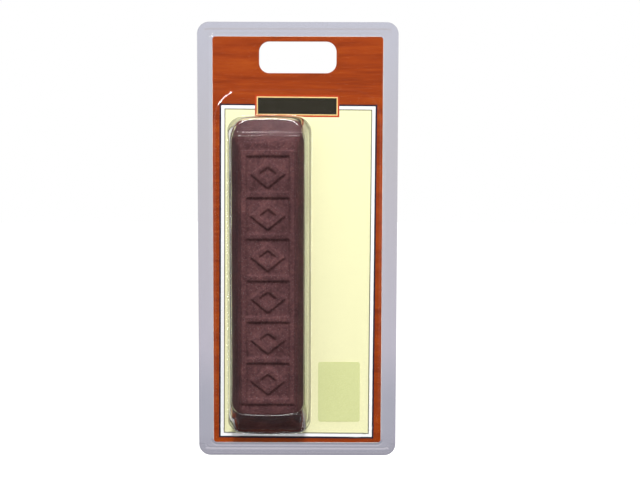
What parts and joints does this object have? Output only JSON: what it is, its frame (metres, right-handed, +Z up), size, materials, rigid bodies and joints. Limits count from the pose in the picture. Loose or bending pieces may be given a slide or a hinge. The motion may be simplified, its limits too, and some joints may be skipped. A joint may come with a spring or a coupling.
{
  "type": "furniture repair wax stick",
  "caption": "Bar of brown wax filler in a clear welded blister pack with a printed card and a rectangular hang hole.",
  "frame": {"origin": "centre of the hang hole, on the flat back plane of the pack", "axes": "+X to the right seen from the front, +Y out of the back, +Z up the height of the pack; the bubble faces -Y"},
  "size_m": [0.078, 0.0198, 0.1705],
  "materials": {
    "wax": "satin",
    "clear_sheet": "gloss",
    "printed_card": "satin",
    "label_paper": "satin"
  },
  "bodies": {
    "pack": {"front_blister": "clear_sheet", "back_sheet": "clear_sheet", "insert_card": "printed_card", "shade_label": "label_paper"},
    "stick": {"wax_stick": "wax"}
  },
  "joints": [
    {"name": "stick_slide", "type": "slide", "parent": "pack", "child": "stick", "axis": [0, 0, 1], "range_m": [0, 0.0005]}
  ]
}
